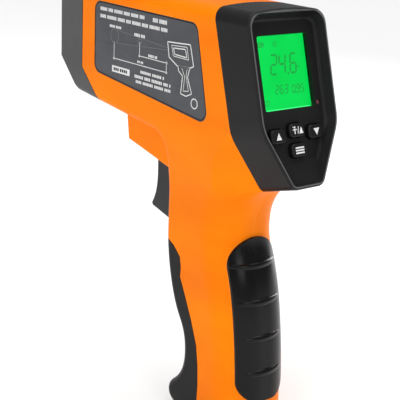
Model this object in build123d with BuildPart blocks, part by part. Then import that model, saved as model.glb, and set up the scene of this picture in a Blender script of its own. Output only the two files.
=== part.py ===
"""Infrared thermometer, pistol form, as an assembly of separate pieces.

The frame is in millimetres: +X is the user's right, +Y the way the thermometer aims and
+Z up. The origin is the mouth of the tripod socket, in the middle of the handle's base.
The display leans back, so its parts are placed on planes from display_plane(), where
u runs up the display and depth runs from the bezel's lip towards the nose.
"""

from build123d import *
from math import cos, radians, sin, sqrt, tan
import os

os.makedirs("parts", exist_ok=True)

# Overall shape of the housing
BARREL_HALF = 22.0
HANDLE_HALF = 18.5
TOP = 195.2
TOP_EDGE = 193.6
TOP_ROUND = 6.0
NOSE_FRONT = 122.0
WALL = 2.2
BARREL_FLOOR_FRONT = 142.0
BARREL_FLOOR_REAR = 132.8
HANDLE_FRONT = 37.4
BASE_REAR = -16.8

# Display bezel, measured on the plane of its lip
DISPLAY_TILT = 16.0
LIP_Y = -23.5
LIP_Z = 164.2
LIP_TOP = 32.2
CHIN_U = -42.3
CHIN_HALF = 8.9
SHOULDER_U = -16.6
BEZEL_DEPTH = 20.0
PANEL_DEPTH = 5.0
PANEL_THICK = 1.8
LCD_HALF = 14.2
LCD_LOW = -8.7
LCD_HIGH = 22.2

# Keys: centre across and up the display
KEYS = {
    "button_up": (-10.8, -19.4),
    "button_light": (0.0, -17.8),
    "button_down": (10.8, -19.4),
    "button_menu": (0.0, -26.2),
}
KEY_SIZE = (8.4, 6.0)
KEY_PROUD = 2.2
KEY_TRAVEL = 0.8

# Optics along the barrel
OPTIC_Z = 171.0
LENS_TUBE_R = 12.0
LENS_R = 10.5
LASER_X = 15.9
LASER_R = 3.0

# Trigger and its switch
TRIGGER_PIVOT = (55.0, 127.5)
TRIGGER_HALF = 6.0
TRIGGER_PIN_R = 1.5
SWITCH_Z = 114.5
SWITCH_FRONT = 41.0
PLUNGER_TIP = 44.3

# Battery door and battery
DOOR_PIVOT = (15.5, 5.0)
DOOR_PIN_R = 1.5
KNUCKLE_R = 4.6
KNUCKLE_HALF = 11.6
BATTERY = (26.5, 17.5, 46.0)
BATTERY_BACK = -2.0
BATTERY_BOTTOM = 14.0

# Tripod socket, 1/4 inch
SOCKET_R = 2.6
SOCKET_DEPTH = 8.0
INSERT_R = 5.0
INSERT_HIGH = 9.5

RUNNING_FIT = 0.05
SIN = sin(radians(DISPLAY_TILT))
COS = cos(radians(DISPLAY_TILT))


def display_point(u, depth):
    """Y and Z of the point u up the display and depth in from the lip."""
    return (LIP_Y + SIN * u + COS * depth, LIP_Z + COS * u - SIN * depth)


def display_plane(depth):
    """Plane of the display at a depth; its normal points at the user."""
    y, z = display_point(0, depth)
    return Plane(origin=(0, y, z), x_dir=(1, 0, 0), z_dir=(0, -COS, SIN))


def x_plane(x):
    """Side plane at x, whose sketch axes are Y and Z."""
    return Plane.YZ.offset(x)


def side_prism(points, half, round_corners=0):
    """Prism between -half and half whose side view is the closed outline."""
    with BuildPart() as prism:
        with BuildSketch(x_plane(-half)) as face:
            with BuildLine():
                Polyline(*points, close=True)
            make_face()
            if round_corners:
                fillet(face.vertices(), radius=round_corners)
        extrude(amount=2 * half)
    return prism.part


def rod(y, z, radius, start, end):
    """Round rod along X at y, z from start to end."""
    with BuildPart() as piece:
        with BuildSketch(x_plane(start)):
            with Locations((y, z)):
                Circle(radius)
        extrude(amount=end - start)
    return piece.part


def tube_y(x, z, outer, inner, start, end):
    """Round tube along Y at x, z; an inner radius of 0 makes it solid."""
    with BuildPart() as piece:
        with BuildSketch(Plane.XZ.offset(-end)):
            with Locations((x, z)):
                Circle(outer)
                if inner:
                    Circle(inner, mode=Mode.SUBTRACT)
        extrude(amount=end - start)
    return piece.part


def block(x0, x1, y0, y1, z0, z1):
    """Box between two corners."""
    with BuildPart() as piece:
        with BuildSketch(Plane.XY.offset(z0)):
            with Locations(((x0 + x1) / 2, (y0 + y1) / 2)):
                Rectangle(x1 - x0, y1 - y0)
        extrude(amount=z1 - z0)
    return piece.part


def save(part, label):
    """Label the finished piece and write its STEP file."""
    part.label = label
    export_step(part, f"parts/{label}.step")


# Side view of the housing: barrel, handle front with its toe, base and rear
TOE_Y = 26.0
TOE_Z = 9.4
TOE_R = 6.4
TOE_UP = 50.0
TOE_DOWN = -60.0


def toe_point(angle):
    return (TOE_Y + TOE_R * cos(radians(angle)), TOE_Z + TOE_R * sin(radians(angle)))


# Rear of the housing from its base up to the waist below the display, as Y and Z
REAR_LINE = [(BASE_REAR, 0), (-16.3, 20), (-13.1, 52), (-7.1, 78.5), (-3.3, 91), (-3.0, 99)]


def rear_line(shift):
    """Rear line moved along Y."""
    return [(y + shift, z) for y, z in REAR_LINE]


def housing_side():
    chin = display_point(CHIN_U, 0)
    chin_end = display_point(CHIN_U, BEZEL_DEPTH)
    lip_top = display_point(LIP_TOP + 5, 0)
    toe_top = toe_point(TOE_UP)
    toe_low = toe_point(TOE_DOWN)
    toe_base = (toe_low[0] - toe_low[1] * tan(radians(-TOE_DOWN)), 0)
    toe_heading = (sin(radians(TOE_UP)), -cos(radians(TOE_UP)))
    waist = (21.4, 32.0)
    with BuildSketch(x_plane(-BARREL_HALF - 5)) as side:
        with BuildLine():
            Polyline(
                chin,
                lip_top,
                (NOSE_FRONT, lip_top[1]),
                (NOSE_FRONT, BARREL_FLOOR_FRONT),
            )
            FilletPolyline(
                (NOSE_FRONT, BARREL_FLOOR_FRONT),
                (HANDLE_FRONT, BARREL_FLOOR_REAR),
                (HANDLE_FRONT, 90),
                radius=10,
            )
            Spline(
                (HANDLE_FRONT, 90),
                (35.4, 71.5),
                (28.0, 50.5),
                waist,
                tangents=((0, -1), (0, -1)),
            )
            Spline(waist, toe_top, tangents=((0, -1), toe_heading))
            ThreePointArc(toe_top, toe_point(0), toe_low)
            Polyline(toe_low, toe_base, (BASE_REAR, 0))
            Spline(
                *rear_line(0),
                chin_end,
                tangents=((0, 1), (-COS, SIN)),
            )
            Line(chin_end, chin)
        make_face()
    return side.sketch


def housing_front():
    """Front view of the housing: crowned top, flat sides, narrower handle."""
    with BuildSketch(Plane.XZ.offset(-NOSE_FRONT - 5)) as front:
        with BuildLine():
            ThreePointArc((-BARREL_HALF, TOP_EDGE), (0, TOP), (BARREL_HALF, TOP_EDGE))
            for side in (-1, 1):
                Line((side * BARREL_HALF, TOP_EDGE), (side * BARREL_HALF, 141))
                Spline(
                    (side * BARREL_HALF, 141),
                    (side * HANDLE_HALF, 104),
                    tangents=((0, -1), (0, -1)),
                )
                Line((side * HANDLE_HALF, 104), (side * HANDLE_HALF, 0))
            Line((-HANDLE_HALF, 0), (HANDLE_HALF, 0))
        make_face()
        fillet(front.vertices().sort_by(Axis.Y)[-2:], radius=TOP_ROUND)
    return front.sketch


def is_handle_edge(edge):
    """True for the long edges between the housing's sides and its front or rear."""
    place = edge.center()
    size = edge.bounding_box().size
    along_side = abs(place.X) > 17 and size.X < 10 and 0.1 < place.Z < 139
    flat_seam = edge.geom_type == GeomType.LINE and size.Y > 1
    return along_side and not flat_seam


FRONT_ROUND = 3.5
REAR_ROUND = 16.0

with BuildPart() as housing:
    extrude(housing_side(), amount=2 * BARREL_HALF + 10)
    extrude(housing_front(), amount=200, mode=Mode.INTERSECT)
    long_edges = [e for e in housing.edges() if is_handle_edge(e)]
    fillet([e for e in long_edges if e.center().Y > 12], radius=FRONT_ROUND)
    long_edges = [e for e in housing.edges() if is_handle_edge(e)]
    rear_edges = [e for e in long_edges if e.center().Y < 0 and e.center().Z < 119]
    fillet(rear_edges, radius=REAR_ROUND)


def chin_scoop(side, inward):
    """Wedge that narrows the housing below the display; inward moves it into the wall."""
    near = [(23, SHOULDER_U + 3), (CHIN_HALF - 0.5, CHIN_U), (10, -62), (23, -95)]
    far = [(24, -25), (22.5, -45), (22.5, -62), (24, -75)]
    with BuildPart() as scoop:
        for depth, corners in ((BEZEL_DEPTH - 0.5, near), (BEZEL_DEPTH + 30, far)):
            with BuildSketch(display_plane(depth)):
                with BuildLine():
                    Polyline(*[(side * (x - inward), u) for x, u in corners], close=True)
                make_face()
        loft(ruled=True)
    return scoop.part


# Block under the barrel that carries the trigger, narrower than the barrel
BLOCK_HALF = 17.5
with BuildPart() as trigger_block:
    with BuildSketch(x_plane(-BLOCK_HALF)):
        with BuildLine():
            Polyline((72.2, 138), (70.1, 123.6), (34, 115.9), (34, 138), close=True)
        make_face()
    extrude(amount=2 * BLOCK_HALF)
    low_edges = [e for e in trigger_block.edges() if e.center().Z < 132]
    fillet([e for e in low_edges if abs(e.center().X) > 14 and e.center().Y > 35], radius=1.6)

# Hollow inside the housing
BARREL_HOLLOW_TOP = 191.4
LOW_CHAMFER = 34.0
HIGH_CHAMFER = 187.0
HIGH_SLOPE = 0.82
HOLLOW_LOW = LOW_CHAMFER + WALL * sqrt(2)
HOLLOW_HIGH = HIGH_CHAMFER - WALL * sqrt(1 + HIGH_SLOPE**2)


def nose_hollow_top(y):
    return HOLLOW_HIGH + HIGH_SLOPE * (NOSE_FRONT - y)


with BuildPart() as barrel_hollow:
    mouth = NOSE_FRONT + 2
    high_corner = NOSE_FRONT - (BARREL_HOLLOW_TOP - HOLLOW_HIGH) / HIGH_SLOPE
    rear_top = display_point(28, BEZEL_DEPTH - 2)
    with BuildSketch(x_plane(WALL - BARREL_HALF)):
        with BuildLine():
            Polyline(
                rear_top,
                (rear_top[0] + 2, BARREL_HOLLOW_TOP),
                (high_corner, BARREL_HOLLOW_TOP),
                (mouth, nose_hollow_top(mouth)),
                (mouth, mouth + HOLLOW_LOW),
                (106.6, 142.7),
                (20, 133.1),
                (-4, 130.5),
                display_point(-30, BEZEL_DEPTH - 2),
                close=True,
            )
        make_face()
    extrude(amount=2 * (BARREL_HALF - WALL))
    top_edges = [e for e in barrel_hollow.edges() if e.center().Z > 191 and e.length > 60]
    fillet([e for e in top_edges if abs(e.center().X) > 15], radius=TOP_ROUND - WALL)
    for side in (-1, 1):
        add(chin_scoop(side, WALL + 0.6), mode=Mode.SUBTRACT)

HANDLE_HOLLOW_HALF = 16.2
REAR_WALL = 4.4
rear_hollow = [(BASE_REAR + REAR_WALL, 11), *rear_line(REAR_WALL)[1:]]
with BuildPart() as handle_hollow:
    with BuildSketch(x_plane(-HANDLE_HOLLOW_HALF)):
        with BuildLine():
            Line(rear_hollow[-1], (rear_hollow[-1][0], 136))
            Line((rear_hollow[-1][0], 136), (35.2, 136))
            Line((35.2, 136), (35.2, 90))
            Spline((35.2, 90), (33.2, 71.5), (26.0, 51), (19.0, 32), tangents=((0, -1), (0, -1)))
            Line((19.0, 32), (19.0, 11))
            Line((19.0, 11), rear_hollow[0])
            Spline(*rear_hollow, tangents=((0, 1), (0, 1)))
        make_face()
    extrude(amount=2 * HANDLE_HOLLOW_HALF)
    upright = [e for e in handle_hollow.edges() if abs(e.center().X) > 16 and e.bounding_box().size.Z > 5]
    fillet([e for e in upright if e.center().Y < 5], radius=13)
    fillet([e for e in upright if e.center().Y > 18], radius=3.5)
foot_hollow = block(-12.4, 12.4, -11.6, 6.5, 2.6, 11.5)

# Nose shroud outline in side view, and the seal line behind it
SEAL_Y = 103.0
SEAL_BEND_Z = 153.3
SEAL_FOOT_Y = 86.8
SEAL_FOOT_Z = 137.5
SEAL_GAP = 0.6


def seal_line(shift):
    return [
        (SEAL_Y + shift, 200),
        (SEAL_Y + shift, SEAL_BEND_Z),
        (SEAL_FOOT_Y + shift, SEAL_FOOT_Z),
    ]


def nose_region(shift):
    return side_prism(seal_line(shift) + [(84 + shift, 130), (130, 130), (130, 200)], 30)


low_wedge = side_prism([(130, 130 + LOW_CHAMFER), (97, 97 + LOW_CHAMFER), (130, 130)], 30)
high_wedge = side_prism(
    [(130, HIGH_CHAMFER - 8 * HIGH_SLOPE), (105, HIGH_CHAMFER + 17 * HIGH_SLOPE), (130, 202)], 30
)

# Battery door outline in side view, from its top at the handle's front to its hinge
DOOR_EDGE = [
    (50, 84.2),
    (34.6, 84.2),
    (30.4, 82.2),
    (25.6, 78.0),
    (24.6, 72.8),
    (24.9, 68.4),
    (21.9, 62.8),
    (15.6, 50.2),
    (11.2, 39.3),
    (9.6, 30),
    (8.9, 20),
    (9.2, 10),
    (9.9, 5),
    (9.9, -2),
    (50, -2),
]
DOOR_CLEARANCE = 0.3

# Rubber grip outline seen from behind
GRIP_HALF = 13.7
GRIP_TOP = 92.8
GRIP_BOTTOM = 18.5
GRIP_PROUD = 1.2
GRIP_DEEP = 2.0


def grip_region():
    with BuildPart() as region:
        with BuildSketch(Plane.XZ.offset(-8)) as outline:
            with Locations((0, (GRIP_TOP + GRIP_BOTTOM) / 2)):
                Rectangle(2 * GRIP_HALF, GRIP_TOP - GRIP_BOTTOM)
            fillet(outline.vertices().group_by(Axis.Y)[-1], radius=13)
            fillet(outline.vertices().group_by(Axis.Y)[0], radius=10)
        extrude(amount=40)
    return region.part


# What the grip is moulded round: the housing's rear, 2 mm further in
with BuildPart() as grip_core:
    with BuildSketch(x_plane(GRIP_DEEP - HANDLE_HALF)):
        with BuildLine():
            Spline(*rear_line(GRIP_DEEP), tangents=((0, 1), (0, 1)))
            Polyline(rear_line(GRIP_DEEP)[-1], (30, 99), (30, 0), rear_line(GRIP_DEEP)[0])
        make_face()
    extrude(amount=2 * (HANDLE_HALF - GRIP_DEEP))
    core_edges = [e for e in grip_core.edges() if abs(e.center().X) > 16 and e.center().Y < 5]
    fillet([e for e in core_edges if e.bounding_box().size.Z > 5], radius=REAR_ROUND - GRIP_DEEP)

# Label recesses, one on each side of the barrel
LABEL = [(92.8, 186.8), (16.0, 186.0), (6.2, 144.0), (92.6, 153.2)]
LABEL_CORNER = 4.5
LABEL_RECESS = 0.5
LABEL_THICK = 0.35


def label_plate(x0, x1, grow=0.0):
    with BuildPart() as plate:
        with BuildSketch(x_plane(x0)) as face:
            with BuildLine():
                Polyline(*LABEL, close=True)
            make_face()
            fillet(face.vertices(), radius=LABEL_CORNER)
            if grow:
                offset(amount=grow)
        extrude(amount=x1 - x0)
    return plate.part


# Case screws: deep holes from the right, pilot holes in the left shell
CASE_SCREWS = [(84, 145.6), (97.5, 187), (9.2, 187.2), (14, 129), (5.5, 86), (-8.6, 7.4)]
SCREW_SEAT_X = 4.0
SCREW_HEAD = 1.8
SCREW_REACH = 8.0
BOARD_TOP = 149.6
BOARD_THICK = 1.6
RAIL_INNER = 15.6

with BuildPart() as screw_bosses:
    for y, z in CASE_SCREWS:
        reach = BARREL_HALF - 1 if z > 120 else HANDLE_HALF - 1
        add(rod(y, z, 3.4, -reach, reach))
    add(housing.part, mode=Mode.INTERSECT)

with BuildPart() as shells:
    add(housing.part)
    add(trigger_block.part)
    add(barrel_hollow.part, mode=Mode.SUBTRACT)
    add(handle_hollow.part, mode=Mode.SUBTRACT)
    add(foot_hollow, mode=Mode.SUBTRACT)
    for side in (-1, 1):
        add(chin_scoop(side, 0), mode=Mode.SUBTRACT)
    # ledges for the main board, the insert's boss and the screw bosses
    for side in (-1, 1):
        wall = sorted((side * RAIL_INNER, side * (BARREL_HALF - WALL + 0.5)))
        add(block(wall[0], wall[1], 4, 76, BOARD_TOP - BOARD_THICK - 3, BOARD_TOP - BOARD_THICK))
    with BuildSketch(Plane.XY.offset(1)):
        Circle(INSERT_R + 2.4)
    extrude(amount=INSERT_HIGH - 1)
    add(screw_bosses.part)
    for y, z in CASE_SCREWS:
        add(rod(y, z, 1.12, -SCREW_REACH - 1, 0), mode=Mode.SUBTRACT)
        add(rod(y, z, 1.3, 0, SCREW_SEAT_X), mode=Mode.SUBTRACT)
        add(rod(y, z, 2.5, SCREW_SEAT_X, 30), mode=Mode.SUBTRACT)
    # openings for the other pieces
    add(nose_region(0), mode=Mode.SUBTRACT)
    with BuildSketch(display_plane(BEZEL_DEPTH)):
        Rectangle(80, 200)
    extrude(amount=60, mode=Mode.SUBTRACT)
    add(side_prism(DOOR_EDGE, 30), mode=Mode.SUBTRACT)
    add(grip_region() - grip_core.part, mode=Mode.SUBTRACT)
    add(label_plate(-BARREL_HALF - 1, LABEL_RECESS - BARREL_HALF, 0.15), mode=Mode.SUBTRACT)
    add(label_plate(BARREL_HALF - LABEL_RECESS, BARREL_HALF + 1, 0.15), mode=Mode.SUBTRACT)
    add(block(-6.5, 6.5, 32, 62.8, 84.2, 134), mode=Mode.SUBTRACT)
    with BuildSketch(Plane.XY.offset(-1)):
        Circle(INSERT_R)
    extrude(amount=INSERT_HIGH + 2, mode=Mode.SUBTRACT)
    # pivots for the trigger and the door
    for side in (-1, 1):
        pocket = sorted((side * 8.8, side * (BLOCK_HALF - WALL)))
        with BuildSketch(x_plane(pocket[0])):
            with BuildLine():
                Polyline((69.4, 140), (66.4, 127.0), (41, 121.4), (41, 140), close=True)
            make_face()
        extrude(amount=pocket[1] - pocket[0], mode=Mode.SUBTRACT)
        start = 6.5 if side < 0 else 9.6
        ends = sorted((side * start, side * (BLOCK_HALF - 1)))
        add(rod(*TRIGGER_PIVOT, 4.2, *ends))
        lug = sorted((side * (KNUCKLE_HALF + 0.4), side * 15.7))
        add(block(*lug, 6, DOOR_PIVOT[0], 1.4, DOOR_PIVOT[1] + 4.2))
        add(rod(*DOOR_PIVOT, 4.2, *lug))
    add(rod(*TRIGGER_PIVOT, 3.4, 6, 9.6), mode=Mode.SUBTRACT)
    add(rod(*TRIGGER_PIVOT, TRIGGER_PIN_R, -14, 14), mode=Mode.SUBTRACT)
    add(rod(*DOOR_PIVOT, DOOR_PIN_R, -16, 16), mode=Mode.SUBTRACT)

for label, side in (("left_shell", -1), ("right_shell", 1)):
    half_space = sorted((0, side * 40))
    with BuildPart() as shell:
        add(shells.part)
        add(block(*half_space, -60, 140, -10, 210), mode=Mode.INTERSECT)
    save(shell.part, label)

# Nose shroud: hollow hood with chamfered front corners, open at its mouth
with BuildPart() as nose_shroud:
    add(housing.part)
    add(nose_region(SEAL_GAP), mode=Mode.INTERSECT)
    add(barrel_hollow.part, mode=Mode.SUBTRACT)
    add(low_wedge, mode=Mode.SUBTRACT)
    add(high_wedge, mode=Mode.SUBTRACT)
save(nose_shroud.part, "nose_shroud")

with BuildPart() as nose_seal:
    add(housing.part)
    add(nose_region(0), mode=Mode.INTERSECT)
    add(nose_region(SEAL_GAP), mode=Mode.SUBTRACT)
    add(barrel_hollow.part, mode=Mode.SUBTRACT)
save(nose_seal.part, "nose_seal")

# Rear bezel: black frame, sloping recess, panel with window and key holes
CHIN_CORNER = 4.5
SHOULDER_ROUND = 18.0
PANEL_INSET = 3.2
LIP_INSET = 1.2
BEZEL_WALL = 1.4


def bezel_outline(depth, inset, top):
    """Outline of the bezel on the plane at a depth, drawn in by an inset."""
    with BuildSketch(display_plane(depth)) as outline:
        with BuildLine():
            Polyline(
                (-BARREL_HALF, top),
                (-BARREL_HALF, SHOULDER_U),
                (-CHIN_HALF, CHIN_U),
                (CHIN_HALF, CHIN_U),
                (BARREL_HALF, SHOULDER_U),
                (BARREL_HALF, top),
                close=True,
            )
        make_face()
        fillet(outline.vertices().group_by(Axis.Y)[-1], radius=8)
        fillet([v for v in outline.vertices() if abs(v.Y - SHOULDER_U) < 0.01], radius=SHOULDER_ROUND)
        fillet([v for v in outline.vertices() if abs(v.Y - CHIN_U) < 0.01], radius=CHIN_CORNER)
        if inset:
            offset(amount=-inset)
    return outline.sketch


def on_display(depth):
    return BuildSketch(display_plane(depth))


# Recess in the bezel, whose sides slope and run into its floor in a curve
with BuildPart() as panel_recess:
    floor_outline = bezel_outline(PANEL_DEPTH, PANEL_INSET, LIP_TOP - 0.4)
    loft([floor_outline, bezel_outline(-0.6, LIP_INSET, LIP_TOP)], ruled=True)
    floor_plane = display_plane(PANEL_DEPTH)
    floor_edges = [e for e in panel_recess.edges() if abs(floor_plane.to_local_coords(e.center()).Z) < 0.05]
    fillet(floor_edges, radius=1.6)
    # the floor rises to meet the lip at the chin
    rise = [(-30.3, PANEL_DEPTH + 1), (-30.3, PANEL_DEPTH), (-41.5, 1.0), (-46, 1.0), (-46, PANEL_DEPTH + 1)]
    add(side_prism([display_point(u, depth) for u, depth in rise], 30), mode=Mode.SUBTRACT)

with BuildPart() as rear_bezel:
    extrude(bezel_outline(BEZEL_DEPTH, 0, LIP_TOP + 30), amount=BEZEL_DEPTH)
    add(housing.part, mode=Mode.INTERSECT)
    lip = display_plane(0)
    lip_edges = [e for e in rear_bezel.edges() if abs(lip.to_local_coords(e.center()).Z) < 0.05]
    fillet(lip_edges, radius=1.2)
    add(panel_recess.part, mode=Mode.SUBTRACT)
    back = PANEL_DEPTH + PANEL_THICK
    extrude(bezel_outline(BEZEL_DEPTH + 1, BEZEL_WALL, LIP_TOP), amount=BEZEL_DEPTH + 1 - back, mode=Mode.SUBTRACT)
    with on_display(back + 0.1):
        with Locations((0, (LCD_LOW + LCD_HIGH) / 2)):
            RectangleRounded(2 * LCD_HALF, LCD_HIGH - LCD_LOW, 1)
        for across, up in KEYS.values():
            with Locations((across, up)):
                RectangleRounded(KEY_SIZE[0] + 0.7, KEY_SIZE[1] + 0.7, 2.3)
        with Locations((15.9, -7.4)):
            Circle(1.1)
    extrude(amount=PANEL_THICK + 3, mode=Mode.SUBTRACT)
save(rear_bezel.part, "rear_bezel")


def display_sheet(front, rear, half, low, high, corner):
    """Flat rectangular sheet behind the panel, between two depths."""
    with BuildPart() as sheet:
        with on_display(rear):
            with Locations((0, (low + high) / 2)):
                RectangleRounded(2 * half, high - low, corner)
        extrude(amount=rear - front)
    return sheet.part


# Display stack: clear window, liquid crystal cell, backlight
WINDOW_BACK = PANEL_DEPTH + PANEL_THICK + 1.2
CELL_BACK = WINDOW_BACK + 2.2
BACKLIGHT_BACK = CELL_BACK + 2.2
BOARD_FRONT = BACKLIGHT_BACK + 0.2
save(display_sheet(WINDOW_BACK - 1.2, WINDOW_BACK, 14.7, -10.4, 24.0, 1), "display_window")
save(display_sheet(WINDOW_BACK, CELL_BACK, 14.7, -11.5, 25.0, 0.5), "lcd_cell")
save(display_sheet(CELL_BACK, BACKLIGHT_BACK, 14.5, -10.5, 24.0, 0.5), "backlight")

with BuildPart() as display_board:
    extrude(bezel_outline(BOARD_FRONT + BOARD_THICK, 3.4, LIP_TOP - 1), amount=BOARD_THICK)
save(display_board.part, "display_board")

with BuildPart() as status_led:
    with on_display(BOARD_FRONT):
        with Locations((15.9, -7.4)):
            Circle(1.0)
    extrude(amount=BOARD_FRONT - PANEL_DEPTH - 0.4)
save(status_led.part, "status_led")

# Keys: rounded cap, flange under the panel and a stem through the silicone sheet
FLANGE_FRONT = PANEL_DEPTH + PANEL_THICK + 0.15
FLANGE_BACK = FLANGE_FRONT + 1.0
MAT_FRONT = BOARD_FRONT - 1.2
STEM_R = 2.0
for label, (across, up) in KEYS.items():
    with BuildPart() as key:
        with on_display(FLANGE_BACK):
            with Locations((across, up)):
                RectangleRounded(KEY_SIZE[0] + 1.0, KEY_SIZE[1] + 1.2, 2.8)
        extrude(amount=FLANGE_BACK - FLANGE_FRONT)
        with on_display(FLANGE_BACK):
            with Locations((across, up)):
                RectangleRounded(*KEY_SIZE, 2.1)
        extrude(amount=FLANGE_BACK - PANEL_DEPTH + KEY_PROUD)
        crown = key.faces().sort_by(Axis((0, 0, 0), (0, -COS, SIN)))[-1]
        fillet(crown.edges(), radius=0.9)
        with on_display(BOARD_FRONT - KEY_TRAVEL - 0.2):
            with Locations((across, up)):
                Circle(STEM_R)
        extrude(amount=BOARD_FRONT - KEY_TRAVEL - 0.2 - FLANGE_BACK + 0.2)
    save(key.part, label)

with BuildPart() as keypad_mat:
    extrude(bezel_outline(BOARD_FRONT, 4.2, LIP_TOP), amount=1.2)
    with on_display(BOARD_FRONT + 1):
        with Locations((0, -22.4)):
            Rectangle(34, 18)
    extrude(amount=4, mode=Mode.INTERSECT)
    with on_display(BOARD_FRONT + 1):
        for across, up in KEYS.values():
            with Locations((across, up)):
                Circle(STEM_R + 0.4)
    extrude(amount=4, mode=Mode.SUBTRACT)
save(keypad_mat.part, "keypad_mat")

# Side labels in their recesses
left_x = LABEL_RECESS - BARREL_HALF
save(label_plate(left_x - LABEL_THICK, left_x), "left_label")
save(label_plate(-left_x, LABEL_THICK - left_x), "right_label")

# Optics: front plate, windows, lens tube with lens and ring, sensor and lasers
PLATE_BACK = 116.0
PLATE_FRONT = 118.5
with BuildPart() as optics_plate:
    with BuildSketch(x_plane(-BARREL_HALF + WALL + 0.1)):
        with BuildLine():
            Polyline(
                (PLATE_BACK, PLATE_BACK + HOLLOW_LOW + 0.3),
                (PLATE_FRONT, PLATE_FRONT + HOLLOW_LOW + 0.3),
                (PLATE_FRONT, nose_hollow_top(PLATE_FRONT) - 0.2),
                (PLATE_BACK, nose_hollow_top(PLATE_BACK) - 0.2),
                close=True,
            )
        make_face()
    extrude(amount=2 * (BARREL_HALF - WALL - 0.1))
    add(tube_y(0, OPTIC_Z, 10, 0, PLATE_BACK - 1, PLATE_FRONT + 1), mode=Mode.SUBTRACT)
    for side in (-1, 1):
        hole = tube_y(side * LASER_X, OPTIC_Z, 2.2, 0, PLATE_BACK - 1, PLATE_FRONT + 1)
        add(hole, mode=Mode.SUBTRACT)
save(optics_plate.part, "optics_plate")

with BuildPart() as laser_windows:
    for side in (-1, 1):
        add(tube_y(side * LASER_X, OPTIC_Z, 2.2, 0, PLATE_BACK, PLATE_BACK + 0.8))
save(laser_windows.part, "laser_windows")

LENS_BACK = 110.0
with BuildPart() as lens_tube:
    with BuildSketch(Plane.YZ):
        with BuildLine():
            Polyline(
                (72, OPTIC_Z + 4.7),
                (72, OPTIC_Z + LENS_TUBE_R),
                (PLATE_BACK, OPTIC_Z + LENS_TUBE_R),
                (PLATE_BACK, OPTIC_Z + LENS_R),
                (LENS_BACK, OPTIC_Z + LENS_R),
                (LENS_BACK, OPTIC_Z + 9.2),
                (76, OPTIC_Z + 9.2),
                (76, OPTIC_Z + 4.7),
                close=True,
            )
        make_face()
    revolve(axis=Axis((0, 0, OPTIC_Z), (0, 1, 0)))
save(lens_tube.part, "lens_tube")

LENS_EDGE = 1.6
LENS_BULGE = 1.5
DOME_R = (LENS_R**2 + LENS_BULGE**2) / (2 * LENS_BULGE)
with BuildPart() as infrared_lens:
    with Locations((0, LENS_BACK + LENS_EDGE + LENS_BULGE - DOME_R, OPTIC_Z)):
        Sphere(DOME_R)
    add(tube_y(0, OPTIC_Z, LENS_R, 0, LENS_BACK, LENS_BACK + 10), mode=Mode.INTERSECT)
save(infrared_lens.part, "infrared_lens")
save(tube_y(0, OPTIC_Z, LENS_R, 9.0, LENS_BACK + LENS_EDGE + 0.5, PLATE_BACK - 1), "lens_ring")

SENSOR_BACK = 68.4
with BuildPart() as thermopile:
    add(tube_y(0, OPTIC_Z, 4.6, 0, SENSOR_BACK, 73.5))
    add(tube_y(0, OPTIC_Z, 5.3, 0, SENSOR_BACK, SENSOR_BACK + 0.6))
save(thermopile.part, "thermopile_sensor")
save(block(-10, 10, SENSOR_BACK - BOARD_THICK, SENSOR_BACK, 161, 181), "sensor_board")

with BuildPart() as laser_modules:
    for side in (-1, 1):
        add(tube_y(side * LASER_X, OPTIC_Z, LASER_R, 0, 94, PLATE_BACK - 0.2))
        add(tube_y(side * LASER_X, OPTIC_Z, 2.2, 0, 91, 94))
save(laser_modules.part, "laser_modules")

with BuildPart() as optics_bracket:
    with BuildSketch(Plane.XZ.offset(-105)):
        with Locations((0, 170)):
            Rectangle(2 * (BARREL_HALF - WALL) - 0.4, 36)
        with Locations((0, OPTIC_Z)):
            Circle(LENS_TUBE_R, mode=Mode.SUBTRACT)
        with Locations((-LASER_X, OPTIC_Z), (LASER_X, OPTIC_Z)):
            Circle(LASER_R, mode=Mode.SUBTRACT)
    extrude(amount=2.4)
save(optics_bracket.part, "optics_bracket")

# Boards in the barrel
BOARD_FLOOR = BOARD_TOP - BOARD_THICK
save(block(-18.2, 18.2, 2, 76.5, BOARD_FLOOR, BOARD_TOP), "main_board")
CHIPS = [
    (0, 40, 10, 10, 1.6),
    (-9, 56, 5, 4, 1.4),
    (8, 58, 6, 5, 1.4),
    (-10, 24, 8, 4, 3.2),
    (9, 22, 4, 4, 2.0),
    (11, 40, 3, 6, 1.2),
]
with BuildPart() as board_parts:
    for x, y, wide, long, high in CHIPS:
        add(block(x - wide / 2, x + wide / 2, y - long / 2, y + long / 2, BOARD_TOP, BOARD_TOP + high))
save(board_parts.part, "main_board_chips")

with BuildPart() as board_screws:
    for x in (-17, 17):
        for y in (10, 70):
            with BuildSketch(Plane.XY.offset(BOARD_TOP)):
                with Locations((x, y)):
                    Circle(1.1)
            extrude(amount=1.2)
save(board_screws.part, "board_screws")

with BuildPart() as buzzer:
    with BuildSketch(Plane.XY.offset(BOARD_FLOOR - 5.5)):
        with Locations((0, 60)):
            Circle(6)
            Circle(1, mode=Mode.SUBTRACT)
    extrude(amount=5.5)
save(buzzer.part, "buzzer")

with BuildPart() as ribbon:
    board_y, board_z = display_point(-6, BOARD_FRONT + BOARD_THICK + 0.1)
    with BuildSketch(x_plane(-6)):
        with BuildLine():
            bend = (board_y + 6.5, BOARD_TOP + 5.2)
            ThreePointArc((board_y, board_z), bend, (3.5, BOARD_TOP))
            Line((3.5, BOARD_TOP), (4.0, BOARD_TOP))
            ThreePointArc((4.0, BOARD_TOP), (bend[0] + 0.3, bend[1] + 0.3), (board_y + 0.1, board_z + 0.4))
            Line((board_y + 0.1, board_z + 0.4), (board_y, board_z))
        make_face()
    extrude(amount=12)
save(ribbon.part, "display_ribbon")

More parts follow.
